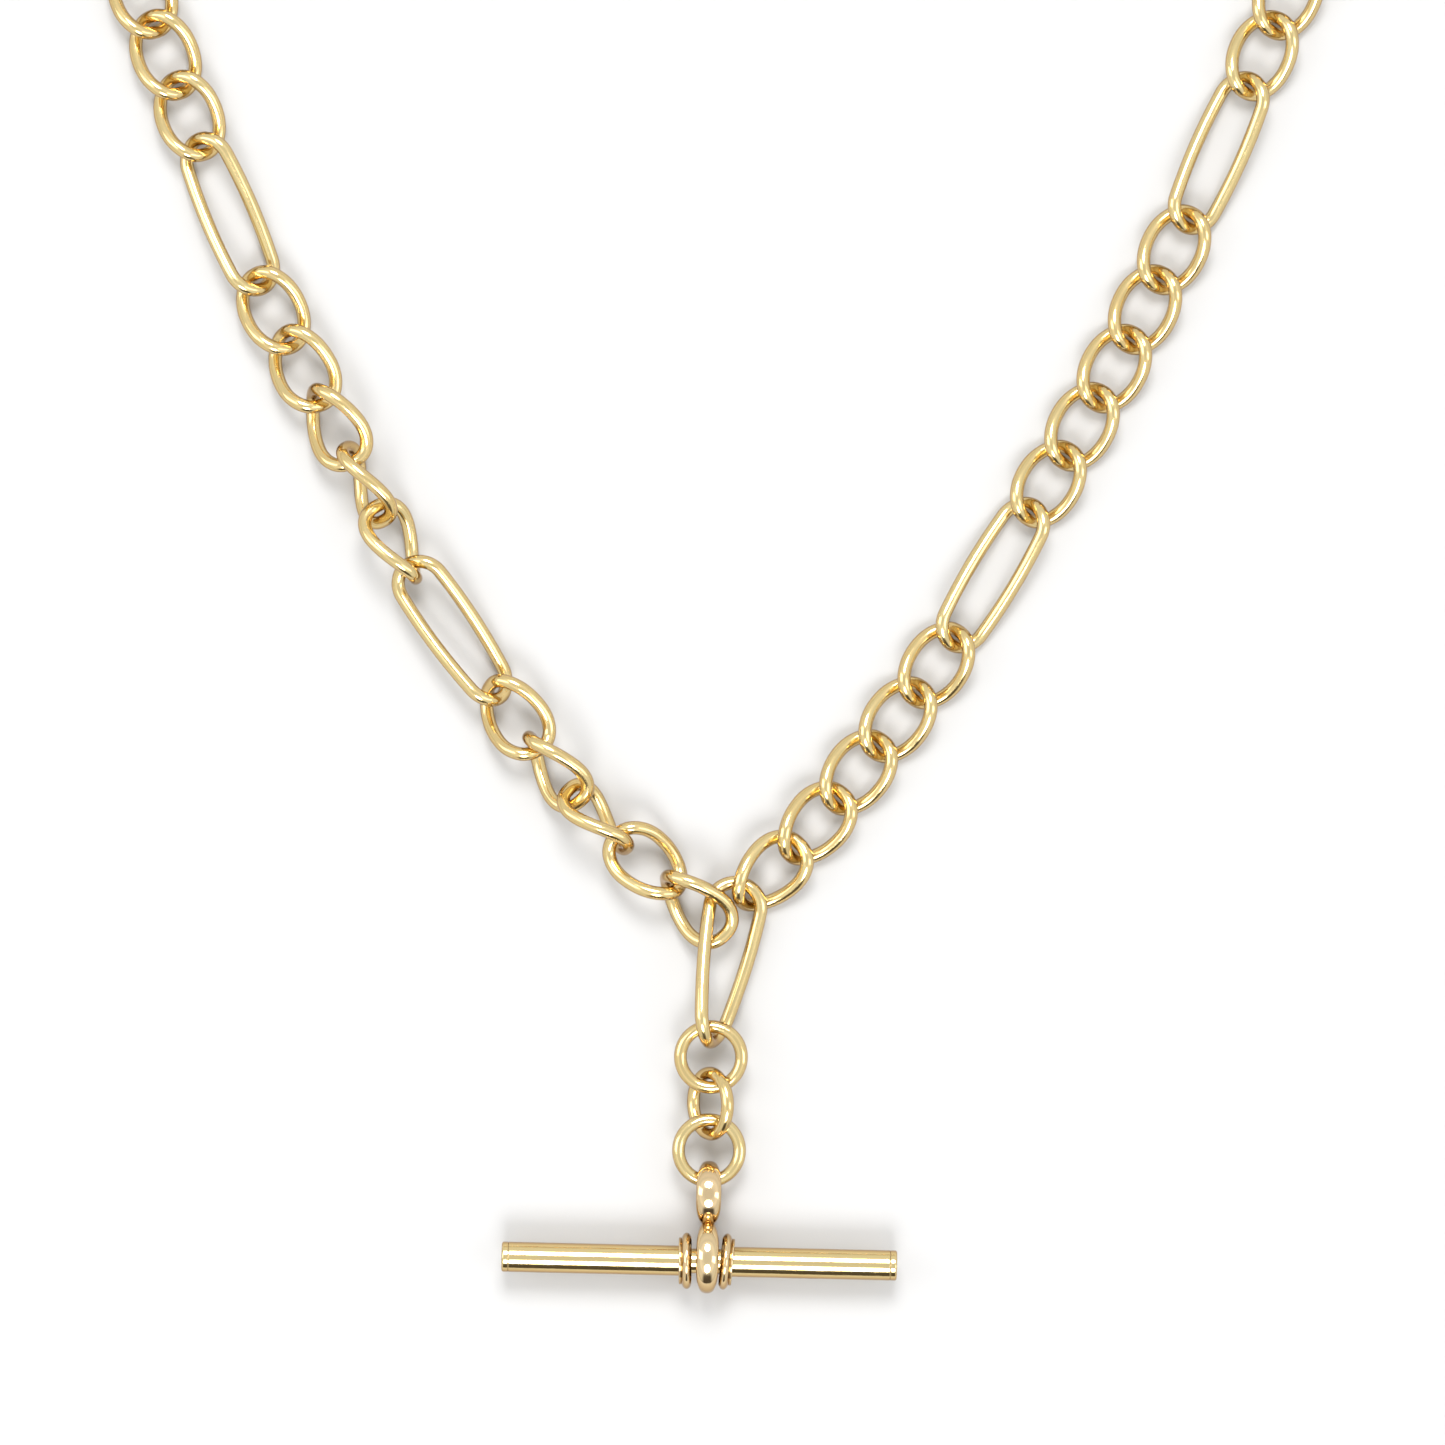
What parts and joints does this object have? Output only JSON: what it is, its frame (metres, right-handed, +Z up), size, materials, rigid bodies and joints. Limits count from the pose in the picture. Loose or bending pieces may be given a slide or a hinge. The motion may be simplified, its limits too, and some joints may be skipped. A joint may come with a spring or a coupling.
{
  "type": "pocket watch chain",
  "caption": "Double pocket watch chain of twisted short and long curb links, with a T-bar on a ring drop and a swivel dog clip at each end, laid out flat.",
  "frame": {"origin": "on the surface that the chain lies on, under the middle of the whole layout", "axes": "+Z up from the surface, +Y from the T-bar towards the clips, +X to the right as seen from above"},
  "size_m": [0.1082, 0.1615, 0.0056],
  "materials": {
    "link_gold": "polished",
    "ring_gold": "polished",
    "bail_gold": "polished",
    "bar_gold": "polished",
    "clip_gold": "polished",
    "spring_steel": "polished"
  },
  "bodies": {
    "centre_link": {"centre_link": "link_gold"},
    "left_link_01": {"left_link_01": "link_gold"},
    "left_link_02": {"left_link_02": "link_gold"},
    "left_link_03": {"left_link_03": "link_gold"},
    "left_link_04": {"left_link_04": "link_gold"},
    "left_link_05": {"left_link_05": "link_gold"},
    "left_link_06": {"left_link_06": "link_gold"},
    "left_link_07": {"left_link_07": "link_gold"},
    "left_link_08": {"left_link_08": "link_gold"},
    "left_link_09": {"left_link_09": "link_gold"},
    "left_link_10": {"left_link_10": "link_gold"},
    "left_link_11": {"left_link_11": "link_gold"},
    "left_link_12": {"left_link_12": "link_gold"},
    "left_link_13": {"left_link_13": "link_gold"},
    "left_link_14": {"left_link_14": "link_gold"},
    "left_link_15": {"left_link_15": "link_gold"},
    "left_link_16": {"left_link_16": "link_gold"},
    "left_link_17": {"left_link_17": "link_gold"},
    "left_link_18": {"left_link_18": "link_gold"},
    "left_link_19": {"left_link_19": "link_gold"},
    "left_link_20": {"left_link_20": "link_gold"},
    "left_link_21": {"left_link_21": "link_gold"},
    "left_clip_swivel": {"left_clip_swivel": "clip_gold"},
    "left_clip_body": {"left_clip_body": "clip_gold", "left_clip_pin": "clip_gold", "left_clip_spring": "spring_steel"},
    "left_clip_gate": {"left_clip_gate": "clip_gold"},
    "right_link_01": {"right_link_01": "link_gold"},
    "right_link_02": {"right_link_02": "link_gold"},
    "right_link_03": {"right_link_03": "link_gold"},
    "right_link_04": {"right_link_04": "link_gold"},
    "right_link_05": {"right_link_05": "link_gold"},
    "right_link_06": {"right_link_06": "link_gold"},
    "right_link_07": {"right_link_07": "link_gold"},
    "right_link_08": {"right_link_08": "link_gold"},
    "right_link_09": {"right_link_09": "link_gold"},
    "right_link_10": {"right_link_10": "link_gold"},
    "right_link_11": {"right_link_11": "link_gold"},
    "right_link_12": {"right_link_12": "link_gold"},
    "right_link_13": {"right_link_13": "link_gold"},
    "right_link_14": {"right_link_14": "link_gold"},
    "right_link_15": {"right_link_15": "link_gold"},
    "right_link_16": {"right_link_16": "link_gold"},
    "right_link_17": {"right_link_17": "link_gold"},
    "right_link_18": {"right_link_18": "link_gold"},
    "right_link_19": {"right_link_19": "link_gold"},
    "right_link_20": {"right_link_20": "link_gold"},
    "right_link_21": {"right_link_21": "link_gold"},
    "right_clip_swivel": {"right_clip_swivel": "clip_gold"},
    "right_clip_body": {"right_clip_body": "clip_gold", "right_clip_pin": "clip_gold", "right_clip_spring": "spring_steel"},
    "right_clip_gate": {"right_clip_gate": "clip_gold"},
    "drop_ring_1": {"drop_ring_1": "ring_gold"},
    "drop_ring_2": {"drop_ring_2": "ring_gold"},
    "drop_ring_3": {"drop_ring_3": "ring_gold"},
    "bail": {"bail": "bail_gold"},
    "t_bar": {"t_bar": "bar_gold", "bar_end_caps": "bar_gold", "bar_collars": "bail_gold"}
  },
  "joints": [
    {"name": "left_link_01_sway", "type": "hinge", "parent": "centre_link", "child": "left_link_01", "pos_m": [-0.00133, -0.05318, 0.00209], "axis": [0, 0, 1], "range_deg": [-5, 0]},
    {"name": "left_link_02_sway", "type": "hinge", "parent": "left_link_01", "child": "left_link_02", "pos_m": [-0.0048, -0.04958, 0.00214], "axis": [0, 0, 1], "range_deg": [-6, 6]},
    {"name": "left_link_03_sway", "type": "hinge", "parent": "left_link_02", "child": "left_link_03", "pos_m": [-0.00873, -0.04652, 0.00254], "axis": [0, 0, -1], "range_deg": [-8, 8]},
    {"name": "left_link_04_sway", "type": "hinge", "parent": "left_link_03", "child": "left_link_04", "pos_m": [-0.01227, -0.04298, 0.00254], "axis": [0, 0, 1], "range_deg": [-7, 7]},
    {"name": "left_link_05_sway", "type": "hinge", "parent": "left_link_04", "child": "left_link_05", "pos_m": [-0.01534, -0.03904, 0.00241], "axis": [0, 0, -1], "range_deg": [-14, 14]},
    {"name": "left_link_06_lift", "type": "hinge", "parent": "left_link_05", "child": "left_link_06", "pos_m": [-0.01825, -0.03505, 0.00162], "axis": [0.8192, 0.5736, 0], "range_deg": [0, 12]},
    {"name": "left_link_07_sway", "type": "hinge", "parent": "left_link_06", "child": "left_link_07", "pos_m": [-0.0246, -0.02597, 0.00239], "axis": [0, 0, -1], "range_deg": [-14, 14]},
    {"name": "left_link_08_sway", "type": "hinge", "parent": "left_link_07", "child": "left_link_08", "pos_m": [-0.02703, -0.0216, 0.00256], "axis": [0, 0, 1], "range_deg": [-14, 14]},
    {"name": "left_link_09_sway", "type": "hinge", "parent": "left_link_08", "child": "left_link_09", "pos_m": [-0.0293, -0.01714, 0.00256], "axis": [0, 0, -1], "range_deg": [-14, 14]},
    {"name": "left_link_10_sway", "type": "hinge", "parent": "left_link_09", "child": "left_link_10", "pos_m": [-0.03171, -0.01279, 0.00206], "axis": [0, 0, 1], "range_deg": [-14, 14]},
    {"name": "left_link_11_sway", "type": "hinge", "parent": "left_link_10", "child": "left_link_11", "pos_m": [-0.03404, -0.0084, 0.00149], "axis": [0, 0, -1], "range_deg": [-14, 14]},
    {"name": "left_link_12_lift", "type": "hinge", "parent": "left_link_11", "child": "left_link_12", "pos_m": [-0.03631, -0.00395, 0.00138], "axis": [0.9205, 0.3907, 0], "range_deg": [0, 20]},
    {"name": "left_link_13_sway", "type": "hinge", "parent": "left_link_12", "child": "left_link_13", "pos_m": [-0.04065, 0.00628, 0.00138], "axis": [0, 0, -1], "range_deg": [-14, 14]},
    {"name": "left_link_14_sway", "type": "hinge", "parent": "left_link_13", "child": "left_link_14", "pos_m": [-0.04244, 0.01094, 0.00127], "axis": [0, 0, 1], "range_deg": [-14, 14]},
    {"name": "left_link_15_sway", "type": "hinge", "parent": "left_link_14", "child": "left_link_15", "pos_m": [-0.04431, 0.01558, 0.00127], "axis": [0, 0, -1], "range_deg": [-14, 14]},
    {"name": "left_link_16_sway", "type": "hinge", "parent": "left_link_15", "child": "left_link_16", "pos_m": [-0.04594, 0.02031, 0.00127], "axis": [0, 0, 1], "range_deg": [-14, 14]},
    {"name": "left_link_17_sway", "type": "hinge", "parent": "left_link_16", "child": "left_link_17", "pos_m": [-0.04724, 0.02514, 0.00127], "axis": [0, 0, -1], "range_deg": [-14, 14]},
    {"name": "left_link_18_lift", "type": "hinge", "parent": "left_link_17", "child": "left_link_18", "pos_m": [-0.04819, 0.03004, 0.00138], "axis": [0.9925, 0.1219, 0], "range_deg": [0, 20]},
    {"name": "left_link_19_sway", "type": "hinge", "parent": "left_link_18", "child": "left_link_19", "pos_m": [-0.04954, 0.04107, 0.00138], "axis": [0, 0, -1], "range_deg": [-14, 14]},
    {"name": "left_link_20_sway", "type": "hinge", "parent": "left_link_19", "child": "left_link_20", "pos_m": [-0.04989, 0.04606, 0.00127], "axis": [0, 0, 1], "range_deg": [-14, 14]},
    {"name": "left_link_21_sway", "type": "hinge", "parent": "left_link_20", "child": "left_link_21", "pos_m": [-0.05007, 0.05105, 0.00149], "axis": [0, 0, -1], "range_deg": [-9, 9]},
    {"name": "left_clip_lift", "type": "hinge", "parent": "left_link_21", "child": "left_clip_swivel", "pos_m": [-0.05007, 0.05605, 0.00149], "axis": [1, 0, 0], "range_deg": [0, 35]},
    {"name": "left_clip_spin", "type": "hinge", "parent": "left_clip_swivel", "child": "left_clip_body", "pos_m": [-0.05007, 0.05605, 0.00149], "axis": [0, 1, 0], "continuous": true},
    {"name": "left_clip_gate_open", "type": "hinge", "parent": "left_clip_body", "child": "left_clip_gate", "pos_m": [-0.04697, 0.06699, 0.00149], "axis": [0, 0, 1], "range_deg": [0, 25], "stiffness_Nm_per_rad": 0.00005, "springref_deg": -20.05},
    {"name": "right_link_01_sway", "type": "hinge", "parent": "centre_link", "child": "right_link_01", "pos_m": [0.00084, -0.05065, 0.00175], "axis": [0, 0, 1], "range_deg": [0, 6]},
    {"name": "right_link_02_sway", "type": "hinge", "parent": "right_link_01", "child": "right_link_02", "pos_m": [0.00441, -0.04708, 0.00174], "axis": [0, 0, 1], "range_deg": [-12, 12]},
    {"name": "right_link_03_sway", "type": "hinge", "parent": "right_link_02", "child": "right_link_03", "pos_m": [0.00772, -0.04327, 0.00154], "axis": [0, 0, -1], "range_deg": [-12, 12]},
    {"name": "right_link_04_sway", "type": "hinge", "parent": "right_link_03", "child": "right_link_04", "pos_m": [0.01076, -0.03924, 0.00136], "axis": [0, 0, 1], "range_deg": [-12, 12]},
    {"name": "right_link_05_sway", "type": "hinge", "parent": "right_link_04", "child": "right_link_05", "pos_m": [0.0138, -0.03521, 0.00127], "axis": [0, 0, -1], "range_deg": [-12, 12]},
    {"name": "right_link_06_lift", "type": "hinge", "parent": "right_link_05", "child": "right_link_06", "pos_m": [0.01662, -0.03102, 0.00138], "axis": [0.8572, -0.515, 0], "range_deg": [0, 20]},
    {"name": "right_link_07_sway", "type": "hinge", "parent": "right_link_06", "child": "right_link_07", "pos_m": [0.02237, -0.02146, 0.00138], "axis": [0, 0, -1], "range_deg": [-12, 12]},
    {"name": "right_link_08_sway", "type": "hinge", "parent": "right_link_07", "child": "right_link_08", "pos_m": [0.02504, -0.01717, 0.00127], "axis": [0, 0, 1], "range_deg": [-12, 12]},
    {"name": "right_link_09_sway", "type": "hinge", "parent": "right_link_08", "child": "right_link_09", "pos_m": [0.02749, -0.01276, 0.00127], "axis": [0, 0, -1], "range_deg": [-12, 12]},
    {"name": "right_link_10_sway", "type": "hinge", "parent": "right_link_09", "child": "right_link_10", "pos_m": [0.02994, -0.00834, 0.00127], "axis": [0, 0, 1], "range_deg": [-12, 12]},
    {"name": "right_link_11_sway", "type": "hinge", "parent": "right_link_10", "child": "right_link_11", "pos_m": [0.03215, -0.0038, 0.00127], "axis": [0, 0, -1], "range_deg": [-12, 12]},
    {"name": "right_link_12_lift", "type": "hinge", "parent": "right_link_11", "child": "right_link_12", "pos_m": [0.03437, 0.00074, 0.00138], "axis": [0.9135, -0.4067, 0], "range_deg": [0, 20]},
    {"name": "right_link_13_sway", "type": "hinge", "parent": "right_link_12", "child": "right_link_13", "pos_m": [0.03891, 0.01093, 0.00138], "axis": [0, 0, -1], "range_deg": [-12, 12]},
    {"name": "right_link_14_sway", "type": "hinge", "parent": "right_link_13", "child": "right_link_14", "pos_m": [0.04096, 0.01554, 0.00127], "axis": [0, 0, 1], "range_deg": [-12, 12]},
    {"name": "right_link_15_sway", "type": "hinge", "parent": "right_link_14", "child": "right_link_15", "pos_m": [0.04293, 0.02019, 0.00127], "axis": [0, 0, -1], "range_deg": [-12, 12]},
    {"name": "right_link_16_sway", "type": "hinge", "parent": "right_link_15", "child": "right_link_16", "pos_m": [0.04466, 0.02494, 0.00127], "axis": [0, 0, 1], "range_deg": [-12, 12]},
    {"name": "right_link_17_sway", "type": "hinge", "parent": "right_link_16", "child": "right_link_17", "pos_m": [0.04605, 0.02979, 0.00127], "axis": [0, 0, -1], "range_deg": [-12, 12]},
    {"name": "right_link_18_lift", "type": "hinge", "parent": "right_link_17", "child": "right_link_18", "pos_m": [0.0471, 0.03473, 0.00138], "axis": [0.9903, -0.1392, 0], "range_deg": [0, 20]},
    {"name": "right_link_19_sway", "type": "hinge", "parent": "right_link_18", "child": "right_link_19", "pos_m": [0.04865, 0.04578, 0.00138], "axis": [0, 0, -1], "range_deg": [-12, 12]},
    {"name": "right_link_20_sway", "type": "hinge", "parent": "right_link_19", "child": "right_link_20", "pos_m": [0.04901, 0.05082, 0.00127], "axis": [0, 0, 1], "range_deg": [-12, 12]},
    {"name": "right_link_21_sway", "type": "hinge", "parent": "right_link_20", "child": "right_link_21", "pos_m": [0.04918, 0.05586, 0.00149], "axis": [0, 0, -1], "range_deg": [-8, 8]},
    {"name": "right_clip_lift", "type": "hinge", "parent": "right_link_21", "child": "right_clip_swivel", "pos_m": [0.04918, 0.06091, 0.00149], "axis": [1, 0, 0], "range_deg": [0, 35]},
    {"name": "right_clip_spin", "type": "hinge", "parent": "right_clip_swivel", "child": "right_clip_body", "pos_m": [0.04918, 0.06091, 0.00149], "axis": [0, 1, 0], "continuous": true},
    {"name": "right_clip_gate_open", "type": "hinge", "parent": "right_clip_body", "child": "right_clip_gate", "pos_m": [0.05228, 0.07185, 0.00149], "axis": [0, 0, 1], "range_deg": [0, 25], "stiffness_Nm_per_rad": 0.00005, "springref_deg": -20.05},
    {"name": "drop_ring_1_sway", "type": "hinge", "parent": "centre_link", "child": "drop_ring_1", "pos_m": [-0.00191, -0.06104, 0.00283], "axis": [0, 0, 1], "range_deg": [-12, 12]},
    {"name": "drop_ring_2_lift", "type": "hinge", "parent": "drop_ring_1", "child": "drop_ring_2", "pos_m": [-0.00191, -0.06459, 0.00262], "axis": [-1, 0, 0], "range_deg": [0, 12]},
    {"name": "drop_ring_3_sway", "type": "hinge", "parent": "drop_ring_2", "child": "drop_ring_3", "pos_m": [-0.00198, -0.06814, 0.0024], "axis": [0, 0, 1], "range_deg": [-12, 12]},
    {"name": "bail_lift", "type": "hinge", "parent": "drop_ring_3", "child": "bail", "pos_m": [-0.00214, -0.07224, 0.0024], "axis": [-1, 0, 0], "range_deg": [0, 70]},
    {"name": "t_bar_spin", "type": "hinge", "parent": "bail", "child": "t_bar", "pos_m": [-0.00279, -0.07831, 0.00252], "axis": [0.9997, -0.0227, 0], "continuous": true}
  ]
}
